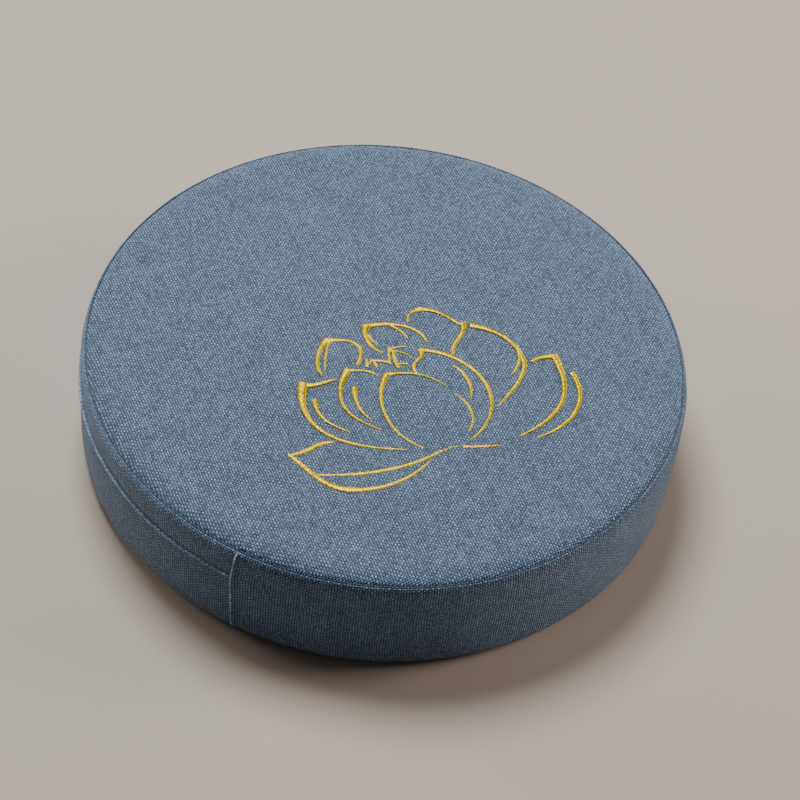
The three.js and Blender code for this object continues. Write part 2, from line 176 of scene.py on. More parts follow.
def new_group(name, inputs, outputs):
    """A shader node group with these sockets, and its inside ends."""
    group = bpy.data.node_groups.new(name, "ShaderNodeTree")
    for label, kind, value in inputs:
        socket = group.interface.new_socket(label, in_out="INPUT", socket_type=kind)
        if value is not None:
            socket.default_value = value
    for label, kind in outputs:
        group.interface.new_socket(label, in_out="OUTPUT", socket_type=kind)
    return group, group.nodes.new("NodeGroupInput"), group.nodes.new("NodeGroupOutput")


def weave_group():
    """Plain weave of slubby yarns over dark gaps, painted shade in the hollows between them. Cloth is a
    place on the flat cloth, in metres; the second input, from 0 to 1, is a painted highlight that fills
    the gaps and lightens the cloth where a fold or bead catches the light."""
    group, given, result = new_group(
        "coarse linen weave",
        [
            ("Cloth", "NodeSocketVector", None),
            ("Painted highlight", "NodeSocketFloat", 0.0),
            ("Warp spacing", "NodeSocketFloat", 0.0017),
            ("Weft spacing", "NodeSocketFloat", 0.00135),
            ("Unevenness", "NodeSocketFloat", 0.9),
            ("Warp colour", "NodeSocketColor", (0.2, 0.3, 0.4, 1)),
            ("Weft colour", "NodeSocketColor", (0.15, 0.22, 0.32, 1)),
            ("Gap shade colour", "NodeSocketColor", (0.02, 0.03, 0.06, 1)),
        ],
        [("Colour", "NodeSocketColor"), ("Height", "NodeSocketFloat")],
    )
    cloth = given.outputs["Cloth"]
    wander = place(group, "ShaderNodeTexNoise", Vector=cloth, Scale=130.0, Detail=2.0)
    split_wander = place(group, "ShaderNodeSeparateColor", Color=wander.outputs["Color"])
    at = place(group, "ShaderNodeSeparateXYZ", Vector=cloth)
    across = calculate(group, "DIVIDE", at.outputs["X"], given.outputs["Warp spacing"])
    uneven = given.outputs["Unevenness"]
    across = calculate(group, "MULTIPLY_ADD", split_wander.outputs["Red"], uneven, across)
    along = calculate(group, "DIVIDE", at.outputs["Y"], given.outputs["Weft spacing"])
    along = calculate(group, "MULTIPLY_ADD", split_wander.outputs["Green"], uneven, along)
    warp = calculate(group, "ROUND", across)
    weft = calculate(group, "ROUND", along)

    def yarn_height(crosswise, lengthwise, index, offset):
        """Height of one set of yarns: round across, and going over and under along its length."""
        body = calculate(group, "COSINE", calculate(group, "MULTIPLY", crosswise, math.pi))
        body = calculate(group, "POWER", calculate(group, "ABSOLUTE", body), 0.8)
        phase = calculate(group, "ADD", calculate(group, "ADD", lengthwise, index), offset)
        over = calculate(group, "COSINE", calculate(group, "MULTIPLY", phase, math.pi))
        over = calculate(group, "MULTIPLY_ADD", over, 0.5, 0.5)
        return calculate(group, "MULTIPLY", body, over)

    warp_height = yarn_height(across, along, warp, 0.0)
    weft_height = yarn_height(along, across, weft, 1.0)
    warp_on_top = calculate(group, "GREATER_THAN", warp_height, weft_height)
    height = calculate(group, "MAXIMUM", warp_height, weft_height)

    def yarn_shade(index, stretch, seed):
        """How light each yarn is, and the slow changes along it where it is thick or thin."""
        each = place(group, "ShaderNodeTexWhiteNoise")
        each.noise_dimensions = "1D"
        group.links.new(calculate(group, "ADD", index, seed), each.inputs["W"])
        drawn_out = place(group, "ShaderNodeVectorMath", Vector=cloth)
        drawn_out.operation = "MULTIPLY"
        drawn_out.inputs[1].default_value = stretch
        slub = place(group, "ShaderNodeTexNoise", Vector=drawn_out.outputs[0], Scale=1.0, Detail=2.0)
        shade = calculate(group, "MULTIPLY_ADD", each.outputs["Value"], 0.16, 0.52)
        return calculate(group, "MULTIPLY_ADD", slub.outputs["Fac"], 0.8, shade)

    warp_yarn = scaled(group, given.outputs["Warp colour"], yarn_shade(warp, (420, 60, 1), 0.37))
    weft_yarn = scaled(group, given.outputs["Weft colour"], yarn_shade(weft, (60, 420, 1), 7.61))
    yarn = mix_colours(group, warp_on_top, weft_yarn, warp_yarn)
    crossing = place(group, "ShaderNodeCombineXYZ", X=warp, Y=weft)
    float_shade = place(group, "ShaderNodeTexWhiteNoise", Vector=crossing.outputs[0])
    yarn = scaled(group, yarn, calculate(group, "MULTIPLY_ADD", float_shade.outputs["Value"], 0.8, 0.6))
    # Painted shade: each yarn darkens into the gap colour as it dips under the other set, as the hollows
    # of the weave fall into shade.
    lit = place(group, "ShaderNodeMapRange", Value=height, From_Min=0.2, From_Max=0.85)
    lit.interpolation_type = "SMOOTHSTEP"
    # Painted highlight: where the second input is set, the gaps take the yarn colour and the cloth is
    # lightened, as on a fold or bead that catches the light.
    highlight_fill = calculate(group, "MULTIPLY", given.outputs["Painted highlight"], 0.8)
    lit = calculate(group, "MAXIMUM", lit.outputs["Result"], highlight_fill)
    colour = mix_colours(group, lit, given.outputs["Gap shade colour"], yarn)
    colour = scaled(group, colour, calculate(group, "MULTIPLY_ADD", given.outputs["Painted highlight"], 0.9, 1.0))
    group.links.new(colour, result.inputs["Colour"])
    group.links.new(height, result.inputs["Height"])
    return group


linen_weave = weave_group()


def woven_cloth(name, warp, weft, gap_shade, spacings=(0.0017, 0.00135), relief_depth=0.0006, sheen=0.25):
    """A matt plain-weave cloth in two colours of yarn, with painted shade in the gaps between them and a
    faint nap.
    """
    material = bpy.data.materials.new(name)
    tree, surface = node_tree(material)
    cloth = place(tree, "ShaderNodeUVMap")
    cloth.uv_map = "cloth"
    # This attribute carries a painted highlight laid on folds and beads.
    painted_highlight = place(tree, "ShaderNodeAttribute")
    painted_highlight.attribute_name = "painted_highlight"
    weave = tree.nodes.new("ShaderNodeGroup")
    weave.node_tree = linen_weave
    tree.links.new(cloth.outputs["UV"], weave.inputs["Cloth"])
    tree.links.new(painted_highlight.outputs["Fac"], weave.inputs["Painted highlight"])
    weave.inputs["Warp spacing"].default_value = spacings[0]
    weave.inputs["Weft spacing"].default_value = spacings[1]
    weave.inputs["Warp colour"].default_value = (*warp, 1)
    weave.inputs["Weft colour"].default_value = (*weft, 1)
    weave.inputs["Gap shade colour"].default_value = (*gap_shade, 1)
    mottle = place(tree, "ShaderNodeTexNoise", Vector=cloth.outputs["UV"], Scale=30.0, Detail=4.0)
    fade = calculate(tree, "MULTIPLY_ADD", mottle.outputs["Fac"], 0.24, 0.88)
    tree.links.new(scaled(tree, weave.outputs["Colour"], fade), surface.inputs["Base Color"])
    rough = calculate(tree, "MULTIPLY_ADD", weave.outputs["Height"], -0.14, 0.95)
    tree.links.new(rough, surface.inputs["Roughness"])
    relief = place(tree, "ShaderNodeBump", Distance=relief_depth, Height=weave.outputs["Height"])
    tree.links.new(relief.outputs["Normal"], surface.inputs["Normal"])
    surface.inputs["Sheen Weight"].default_value = sheen
    surface.inputs["Sheen Roughness"].default_value = 0.45
    surface.inputs["Sheen Tint"].default_value = (0.7, 0.85, 1, 1)
    surface.inputs["Specular IOR Level"].default_value = 0.2
    return material


cover_linen = woven_cloth(
    "cover linen",
    warp=(0.236, 0.352, 0.500),
    weft=(0.112, 0.180, 0.304),
    gap_shade=(0.018, 0.028, 0.058),
)

cover_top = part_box("top_panel")[1][2]
half_height = cover_top / 2
cushion_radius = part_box("plain_band")[1][0]
seam_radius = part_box("top_panel")[1][0] + 0.00015
cloth_thickness = 0.0012
# Directions along which warp and weft yarns are counted; the cloth is pulled a little askew.
yarn_directions = np.radians([20, 117])


def top_height(radius):
    """Height of the top's face: a faint crown that dies out before the rim."""
    return cover_top + 0.0012 * np.clip(1 - (radius / 0.180) ** 2, 0, 1) ** 1.5


def soften(points, times=2):
    """A closed outline with its corners rounded by cutting them, times over."""
    points = np.array(points, float)
    for _ in range(times):
        ahead = np.roll(points, -1, axis=0)
        points = np.stack([0.75 * points + 0.25 * ahead, 0.25 * points + 0.75 * ahead], 1).reshape(-1, 2)
    return points


def grid_mesh(name, points, cloth, wrap, painted_highlight=None):
    """A mesh from a grid of points with cloth coordinates at its corners. The second direction
    always closes on itself; the first does if wrap is true, and otherwise gets end caps."""
    rows, columns = points.shape[:2]
    i, j = np.meshgrid(np.arange(rows if wrap else rows - 1), np.arange(columns), indexing="ij")
    i, j = i.ravel(), j.ravel()
    i2, j2 = (i + 1) % rows, (j + 1) % columns
    quads = np.stack([i * columns + j, i2 * columns + j, i2 * columns + j2, i * columns + j2], 1)
    corners = np.stack([cloth[i, j], cloth[i + 1, j], cloth[i + 1, j + 1], cloth[i, j + 1]], 1)
    faces = quads.tolist()
    places = corners.reshape(-1, 2)
    if not wrap:
        faces.append(list(range(columns)))
        faces.append(list(range(rows * columns - 1, (rows - 1) * columns - 1, -1)))
        places = np.concatenate([places, cloth[0, :columns], cloth[rows - 1, :columns][::-1]])
    mesh = bpy.data.meshes.new(name)
    mesh.from_pydata(points.reshape(-1, 3).tolist(), [], faces)
    layer = mesh.uv_layers.new(name="cloth")
    layer.data.foreach_set("uv", np.ascontiguousarray(places, np.float32).ravel())
    # The optional point attribute is a painted highlight for the cloth's shader.
    if painted_highlight is not None:
        highlight_strength = mesh.attributes.new("painted_highlight", "FLOAT", "POINT")
        highlight_strength.data.foreach_set("value", np.ascontiguousarray(painted_highlight, np.float32).ravel())
    mesh.shade_smooth()
    return mesh


def add_piece(name, mesh, material, slot, *nodes, body="cushion"):
    """Links a finished mesh in, hangs it on its body's empty, and hides the CAD parts it stands for."""
    mesh.materials.append(material)
    piece = bpy.data.objects.new(name, mesh)
    bpy.context.collection.objects.link(piece)
    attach(piece, body)
    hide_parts(*nodes)
    return piece


def unevenness(angle, height):
    """How far the stuffed side stands out or in at a place, in metres."""
    waves = (
        (2, 0.00035, 0.4, 0),
        (3, 0.0003, 2.1, 12),
        (7, 0.00018, 1.0, 40),
        (13, 0.00012, 4.4, 70),
        (29, 0.00007, 0.3, 90),
    )
    return sum(size * np.sin(n * angle + shift + height * twist) for n, size, shift, twist in waves)


def round_panel(name, upside_down):
    """A round panel: its face, the roll down to the crease, and the edge turned in."""
    crease = seam_radius - 0.00015
    # Radius and height above the face, from the middle of the inner side round to the outer one.
    rim = soften([
        (0.176, -0.0012),
        (0.1828, -0.0012),
        (0.1876, -0.0016),
        (0.1915, -0.0025),
        (crease - 0.0012, -0.0049),
        (crease - 0.0012, -0.0105),
        (crease, -0.0105),
        (crease, -0.0050),
        (crease - 0.0004, -0.0043),
        (0.1944, -0.0025),
        (0.1905, -0.0010),
        (0.1870, -0.0003),
        (0.183, 0),
        (0.176, 0),
        (0.170, 0),
        (0.170, -0.0012),
    ])
    start = int(np.argmin(np.hypot(rim[:, 0] - 0.170, rim[:, 1] + cloth_thickness)))
    rim = np.roll(rim, -start - 1, axis=0)
    rim = rim[rim[:, 0] > 0.1705]
    inner = np.stack([np.linspace(0.0001, 0.168, 22), np.full(22, -cloth_thickness)], 1)
    outer = np.stack([np.linspace(0.168, 0.0001, 56), np.zeros(56)], 1)
    outline = np.concatenate([inner, rim, outer])
    turns = 480
    angle = np.arange(turns + 1)[:, None] * 2 * math.pi / turns
    radius = np.broadcast_to(outline[:, 0], (turns + 1, len(outline)))
    rise = top_height(radius) - cover_top
    rise = rise + 0.00022 * np.sin(9 * radius / 0.2 + 2 * angle) * np.clip(radius / 0.05, 0, 1)
    pucker = unevenness(angle, 0) * 0.5 + 0.00008 * np.sin(97 * angle + 2 * np.sin(5 * angle))
    rise = rise + np.clip((radius - 0.165) / 0.02, 0, 1) * pucker
    height = cover_top + outline[:, 1] + rise
    if upside_down:
        height = cover_top - (height - rise) + 0.3 * np.minimum(rise, 0)
        height = np.maximum(height, 0)
    points = np.stack([radius * np.cos(angle), radius * np.sin(angle), height], 2)
    flat = points[..., :2] @ np.stack([np.cos(yarn_directions), np.sin(yarn_directions)])
    flat = np.concatenate([flat, flat[:, :1]], 1)
    points = points[:turns]
    if upside_down:
        points, flat = points[:, ::-1], flat[:, ::-1]
    return grid_mesh(name, points, flat, wrap=True)


top_mesh = round_panel("cover_top_panel", upside_down=False)
top_piece = add_piece("cover_top_panel", top_mesh, cover_linen, "cover_cloth", "top_panel")


# Bottom panel: a round piece of the same cloth, cut and sewn in like the top one, and pressed flat
# by the cushion's weight where it rests on the floor.
bottom_mesh = round_panel("cover_bottom_panel", upside_down=True)
add_piece("cover_bottom_panel", bottom_mesh, cover_linen, "cover_cloth", "bottom_panel")


# Plain band: the part of the side with no opening, one strip of the same cloth on the straight
# grain. It curls over both corners into the creases; each end is folded and lapped over the zip
# strips, and stitched down close to the fold.
front_end, back_end = 240.5, 70.5
slot_height = (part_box("zip_strip_upper")[0][2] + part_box("zip_strip_lower")[1][2]) / 2


def side_radius(height):
    """The side's shallow barrel."""
    return cushion_radius - 0.0012 * ((height - half_height) / half_height) ** 2


def turned_over(points):
    """The same outline at the bottom of the side."""
    return [(radius, cover_top - height) for radius, height in points]


def corner_outside():
    """The outer face from the crease over the corner and on to the side."""
    bend = [(0.00015, 0.0048), (0.0004, 0.0043), (0.0011, 0.0044), (0.0020, 0.0055), (0.0027, 0.0074)]
    corner = [(seam_radius + out, cover_top - down) for out, down in bend]
    return corner + [(side_radius(cover_top - down), cover_top - down) for down in (0.009, 0.012, 0.016)]


def corner_inside():
    """The inner face of the same stretch, back to the turned-in edge."""
    crease = seam_radius + 0.00015
    face = [(side_radius(cover_top - down) - cloth_thickness, cover_top - down) for down in (0.016, 0.009)]
    return face + [
        (crease + cloth_thickness, cover_top - 0.0064),
        (crease + cloth_thickness, cover_top - 0.0105),
        (crease, cover_top - 0.0105),
    ]


def seam_shift(angle, height):
    """Degrees by which the front seam is drawn to the left where the lip meets it."""
    lip = slot_height + 0.0018
    drawn = np.interp(height, [0.006, lip - 0.02, lip, cover_top - 0.004], [0, -0.45, -0.7, 0])
    return drawn * np.clip(1 - np.abs(angle - front_end) / 12, 0, 1) ** 2


def side_points(angle, radius, height):
    """Places on the side from angles in degrees, with the filling's swells and the seams' puckers."""
    around = np.radians(angle)
    near_crease = np.exp(-np.minimum(height, cover_top - height) / 0.009)
    pucker = 0.00012 * near_crease * np.sin(141 * around + 3 * np.sin(7 * around))
    loose = np.clip((radius - seam_radius) / 0.004, 0, 1)
    radius = radius + loose * (unevenness(around, height) + pucker)
    turn = np.radians(angle + seam_shift(angle, height))
    height = np.broadcast_to(height, turn.shape)
    return np.stack([radius * np.cos(turn), radius * np.sin(turn), height], -1)


def band_angles(start, end):
    """Angles in degrees along a strip, closer together at its two ends."""
    fine = np.concatenate([np.arange(0, 2.4, 0.08), [2.6, 2.9, 3.3]])
    return np.concatenate([start + fine, np.arange(start + 4, end - 3.6, 0.7), (end - fine)[::-1]])


def clockwise(outline):
    """The outline in the order that makes its swept faces look outwards."""
    ahead = np.roll(outline, -1, axis=0)
    turning = np.sum(outline[:, 0] * ahead[:, 1] - ahead[:, 0] * outline[:, 1])
    return outline if turning > 0 else outline[::-1]


def side_strip(name, outline, start, end, folded=False, edge=None):
    """A strip of the side swept from its cross-section. Folded gives it lapped ends with a raised fold,
    lightened along its ridge as a painted highlight, and a stitched line; edge is the height of a painted
    highlight along the lip's bead."""
    angle = band_angles(start, end)[:, None]
    radius = np.broadcast_to(outline[:, 0], (len(angle), len(outline)))
    height = np.broadcast_to(outline[:, 1], (len(angle), len(outline)))
    outer = np.clip((radius - side_radius(height) + 0.0011) / 0.0006, 0, 1)
    outer = np.where(np.minimum(height, cover_top - height) < 0.0060, 1, outer)
    painted_highlight = 0 * radius
    if folded:
        inward = np.radians(np.minimum(angle - start, end - angle)) * cushion_radius
        ridge = np.exp(-(((inward - 0.0010) / 0.0010) ** 2))
        fold = 0.0010 * ridge - 0.0004 * np.exp(-(((inward - 0.0034) / 0.0006) ** 2))
        fold = fold - 0.0006 * np.exp(-((inward / 0.0003) ** 2))
        radius = radius + fold * np.clip((radius - seam_radius - 0.001) / 0.002, 0, 1)
        # Painted highlight along the fold's ridge on the outer face, where it would catch the light.
        painted_highlight = painted_highlight + ridge * outer
    if edge is not None:
        # Painted highlight along the lip's bead, growing stronger towards the front end.
        highlight_strength = 0.75 + 0.5 * np.exp((angle - end) / 8)
        painted_highlight = painted_highlight + highlight_strength * outer * np.exp(-(((height - edge) / 0.0009) ** 2))
    length = np.concatenate([[0], np.cumsum(np.hypot(*np.diff(outline, axis=0).T))])
    length = np.append(length, length[-1] + 0.001)
    cloth = np.stack(np.broadcast_arrays(np.radians(angle) * cushion_radius, length[None, :]), 2)
    return grid_mesh(name, side_points(angle, radius, height), cloth, wrap=False, painted_highlight=painted_highlight)


middle_heights = np.linspace(cover_top - 0.019, 0.019, 17)
plain_outline = clockwise(soften(
    corner_outside()
    + [(side_radius(z), z) for z in middle_heights]
    + turned_over(corner_outside())[::-1]
    + turned_over(corner_inside())[::-1]
    + [(side_radius(z) - cloth_thickness, z) for z in middle_heights[::-2]]
    + corner_inside()
))
band_mesh = side_strip("cover_plain_band", plain_outline, front_end + 0.05, back_end + 359.95, folded=True)
add_piece("cover_plain_band", band_mesh, cover_linen, "cover_cloth", "plain_band")


# Zip strips: the rest of the side is two strips that meet over the zip. The upper one's folded
# edge is a lip, stitched 3 mm above the fold, so that it puffs out as a bead; the lower one lies
# a little back under it. Both edges are turned in and sewn to the zip's tapes.
upper_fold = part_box("zip_strip_upper")[0][2]
lower_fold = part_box("zip_strip_lower")[1][2]
lip_stitch = upper_fold + 0.0029


def fold_outline(fold, direction, inset):
    """A turned edge, from the outer face round the fold and back inside, as (radius, height)."""
    steps = (
        (0.0006, 0),
        (0, 0.0007),
        (0, 0.0018),
        (0.0006, 0.0026),
        (0.0115, 0.0026),
        (0.0115, 0.0015),
        (0.0014, 0.0015),
        (0.0014, 0.0012),
    )
    levels = [(fold + direction * up, depth) for up, depth in steps]
    return [(side_radius(level) - inset - depth, level) for level, depth in levels]


lip_face = (
    (0.0040, 0),
    (0.0012, -0.0002),
    (0.0003, -0.0008),
    (-0.0003, -0.0007),
    (-0.0011, 0.0008),
    (-0.0018, 0.0012),
    (-0.0025, 0.0009),
)
upper_outline = clockwise(soften(
    corner_outside()
    + [(side_radius(lip_stitch + up) + out, lip_stitch + up) for up, out in lip_face]
    + fold_outline(upper_fold, 1, 0)[1:]
    + corner_inside()
))
lower_outline = clockwise(soften(
    turned_over(corner_outside())
    + [(side_radius(z), z) for z in np.linspace(0.019, lower_fold - 0.008, 6)]
    + [(side_radius(lower_fold) - 0.0004, lower_fold - 0.003)]
    + fold_outline(lower_fold, -1, 0.0007)
    + [(side_radius(z) - cloth_thickness, z) for z in (lower_fold - 0.006, 0.034, 0.024)]
    + turned_over(corner_inside())
))
strip_start, strip_end = back_end + 0.05, front_end - 0.05
bead = lip_stitch - 0.0012
# The upper strip's bead gets a painted highlight.
upper_mesh = side_strip("cover_zip_strip_upper", upper_outline, strip_start, strip_end, edge=bead)
add_piece("cover_zip_strip_upper", upper_mesh, cover_linen, "cover_cloth", "zip_strip_upper")
lower_mesh = side_strip("cover_zip_strip_lower", lower_outline, strip_start, strip_end)
add_piece("cover_zip_strip_lower", lower_mesh, cover_linen, "cover_cloth", "zip_strip_lower")


# Sewing thread: spun polyester, three plies, much the cloth's own colour. One row runs in each
# crease, one along the lip and one up each end of the plain band.
def thread_mesh(name, lines, thickness, up, sides=6):
    """Threads as one mesh. Lines is an array of threads, each a row of places; thickness is the
    radius along each, and up a direction across them all or one for each."""
    lines = np.asarray(lines, float)
    count, rings = lines.shape[:2]
    thickness = np.broadcast_to(thickness, (count, rings))
    ahead = np.gradient(lines, axis=1)
    ahead = ahead / np.linalg.norm(ahead, axis=2, keepdims=True)
    aside = np.cross(ahead, np.broadcast_to(up, lines.shape))
    aside = aside / np.linalg.norm(aside, axis=2, keepdims=True)
    above = np.cross(aside, ahead)
    turn = (np.arange(sides) * 2 * math.pi / sides)[:, None]
    ring = aside[:, :, None] * np.cos(turn) + above[:, :, None] * np.sin(turn)
    points = lines[:, :, None] + ring * thickness[:, :, None, None]
    base = np.arange(count)[:, None, None] * rings * sides
    i = np.arange(rings - 1)[None, :, None] * sides
    j = np.arange(sides)[None, None]
    j2 = (j + 1) % sides
    quads = (base + i + j, base + i + j2, base + i + sides + j2, base + i + sides + j)
    faces = np.stack(np.broadcast_arrays(*quads), 3).reshape(-1, 4).tolist()
    ends = (base[:, 0] + np.arange(sides)[::-1], base[:, 0] + (rings - 1) * sides + np.arange(sides))
    faces += np.concatenate(ends).tolist()
    run = np.cumsum(np.linalg.norm(np.diff(lines, axis=1, prepend=lines[:, :1]), axis=2), axis=1) * 1000
    run = run + np.arange(count)[:, None] * 3.7
    u, v = np.broadcast_arrays(run[:, :, None], np.arange(sides + 1) / sides)
    places = np.stack([u, v], 3)
    corners = (places[:, :-1, :-1], places[:, :-1, 1:], places[:, 1:, 1:], places[:, 1:, :-1])
    corners = np.stack(corners, 3).reshape(-1, 2)
    caps = np.repeat(np.stack([run[:, 0], run[:, -1]]).ravel(), sides)
    corners = np.concatenate([corners, np.stack([caps, 0 * caps], 1)])
    mesh = bpy.data.meshes.new(name)
    mesh.from_pydata(points.reshape(-1, 3), [], faces)
    layer = mesh.uv_layers.new(name="thread")
    layer.data.foreach_set("uv", np.ascontiguousarray(corners, np.float32).ravel())
    mesh.shade_smooth()
    return mesh


def stitch_mesh(name, starts, ends, up, thickness, rise, rings=5):
    """Short stitches from starts to ends, bowed up by rise and thinner where they dive in."""
    along = np.linspace(0, 1, rings)
    bow = np.sqrt(np.clip(4 * along * (1 - along), 0, 1))
    rise = np.broadcast_to(np.asarray(rise, float), (len(starts),))
    up = np.broadcast_to(up, starts.shape)
    lines = starts[:, None] * (1 - along)[:, None] + ends[:, None] * along[:, None]
    lines = lines + up[:, None] * (rise[:, None] * bow)[..., None]
    return thread_mesh(name, lines, thickness * (0.55 + 0.45 * bow), up[:, None])


def thread_group():
    """Plied thread. Twist is the number of plies seen per millimetre."""
    group, given, result = new_group(
        "plied thread",
        [
            ("Twist", "NodeSocketFloat", 1.6),
            ("Light", "NodeSocketColor", (0.5, 0.5, 0.5, 1)),
            ("Dark", "NodeSocketColor", (0.2, 0.2, 0.2, 1)),
        ],
        [("Colour", "NodeSocketColor"), ("Height", "NodeSocketFloat")],
    )
    at = place(group, "ShaderNodeUVMap")
    at.uv_map = "thread"
    parts = place(group, "ShaderNodeSeparateXYZ", Vector=at.outputs["UV"])
    twist = given.outputs["Twist"]
    turn = calculate(group, "MULTIPLY_ADD", parts.outputs["X"], twist, parts.outputs["Y"])
    ply = calculate(group, "SINE", calculate(group, "MULTIPLY", turn, math.pi))
    ply = calculate(group, "ABSOLUTE", ply)
    fibre = place(group, "ShaderNodeTexNoise", Vector=at.outputs["UV"], Scale=0.9, Detail=4.0)
    # Painted shade: the thread takes the dark colour in the grooves between plies and the light one on
    # their crowns, with random fibre tone mixed in.
    share = calculate(group, "MULTIPLY", calculate(group, "ADD", ply, fibre.outputs["Fac"]), 0.62)
    colour = mix_colours(group, share, given.outputs["Dark"], given.outputs["Light"])
    group.links.new(colour, result.inputs["Colour"])
    group.links.new(ply, result.inputs["Height"])
    return group


plied_thread = thread_group()


def thread_material(name, light, dark, twist, roughness, metallic=0.0, sheen=0.0, painted_sheen_shade=0.0):
    """Thread in a light and a dark colour, the dark in the grooves between plies as painted shade;
    metallic thread reflects in its own colour. The last argument is how much darker it turns in random
    patches a few millimetres long: painted shade for the duller sheen of stitches that lie at another
    slant to the light."""
    material = bpy.data.materials.new(name)
    tree, surface = node_tree(material)
    thread = tree.nodes.new("ShaderNodeGroup")
    thread.node_tree = plied_thread
    thread.inputs["Twist"].default_value = twist
    thread.inputs["Light"].default_value = (*light, 1)
    thread.inputs["Dark"].default_value = (*dark, 1)
    at = place(tree, "ShaderNodeTexCoord").outputs["Object"]
    # Painted shade: random patches darken the thread, standing in for stitches whose sheen the lamps catch
    # less.
    slant = place(tree, "ShaderNodeTexNoise", Vector=at, Scale=170.0, Detail=3.0, Roughness=0.6)
    slant = place(tree, "ShaderNodeMapRange", Value=slant.outputs["Fac"], From_Min=0.36, From_Max=0.58)
    slant.inputs["To Min"].default_value = 1 - painted_sheen_shade
    colour = scaled(tree, thread.outputs["Colour"], slant.outputs["Result"])
    tree.links.new(colour, surface.inputs["Base Color"])
    relief = place(tree, "ShaderNodeBump", Strength=0.5, Distance=0.0001, Height=thread.outputs["Height"])
    tree.links.new(relief.outputs["Normal"], surface.inputs["Normal"])
    surface.inputs["Specular Tint"].default_value = (*light, 1)
    surface.inputs["Roughness"].default_value = roughness
    surface.inputs["Metallic"].default_value = metallic
    surface.inputs["Sheen Weight"].default_value = sheen
    return material


sewing_thread = thread_material(
    "sewing thread", (0.17, 0.24, 0.32), (0.05, 0.08, 0.13), 1.4, 0.65, sheen=0.2
)
stitch_length, stitch_pitch, thread_radius = 0.0027, 0.0032, 0.00023
thread_sunk, stitch_from_fold = 0.00025, 0.0034


def side_stitches(name, node, angles, height, radius, up=None, rise=0.0003):
    """A row of stitches round the side at one height, between two angles in degrees."""
    first = np.arange(angles[0], angles[1] - 0.9, math.degrees(stitch_pitch / cushion_radius))
    second = first + math.degrees(stitch_length / cushion_radius)
    level = np.full_like(first, height)
    middle = np.radians((first + second) / 2)
    outward = np.stack([np.cos(middle), np.sin(middle), 0 * middle], 1)
    if up is not None:
        outward = 0.1 * outward + np.array(up)
    starts = side_points(first, np.full_like(first, radius), level)
    ends = side_points(second, np.full_like(first, radius), level)
    mesh = stitch_mesh(name, starts, ends, outward, thread_radius, rise)
    add_piece(name, mesh, sewing_thread, "sewing_thread", node)


lip_radius = side_radius(lip_stitch) - 0.00062
side_stitches("stitches_lip", "lip_topstitch", (strip_start + 1, strip_end), lip_stitch, lip_radius)
crease_depth = 0.0037
side_stitches(
    "stitches_top_crease", "seam_thread_top", (0, 360.9), cover_top - crease_depth, seam_radius,
    up=(0, 0, 1), rise=0.0001,
)
side_stitches(
    "stitches_bottom_crease", "seam_thread_bottom", (0, 360.9), crease_depth, seam_radius,
    up=(0, 0, -1), rise=0.0001,
)
fold_angle = math.degrees(stitch_from_fold / cushion_radius)
for name, node, angle in (
    ("stitches_front_end", "end_stitch_front", front_end + fold_angle),
    ("stitches_back_end", "end_stitch_back", back_end - fold_angle),
):
    low = np.arange(0.009, cover_top - 0.011, stitch_pitch)
    high = low + stitch_length
    where = np.full_like(low, angle)
    starts = side_points(where, side_radius(low) - thread_sunk, low)
    ends = side_points(where, side_radius(high) - thread_sunk, high)
    outward = np.array([math.cos(math.radians(angle)), math.sin(math.radians(angle)), 0])
    mesh = stitch_mesh(name, starts, ends, outward, thread_radius, 0.0003)
    add_piece(name, mesh, sewing_thread, "sewing_thread", node)


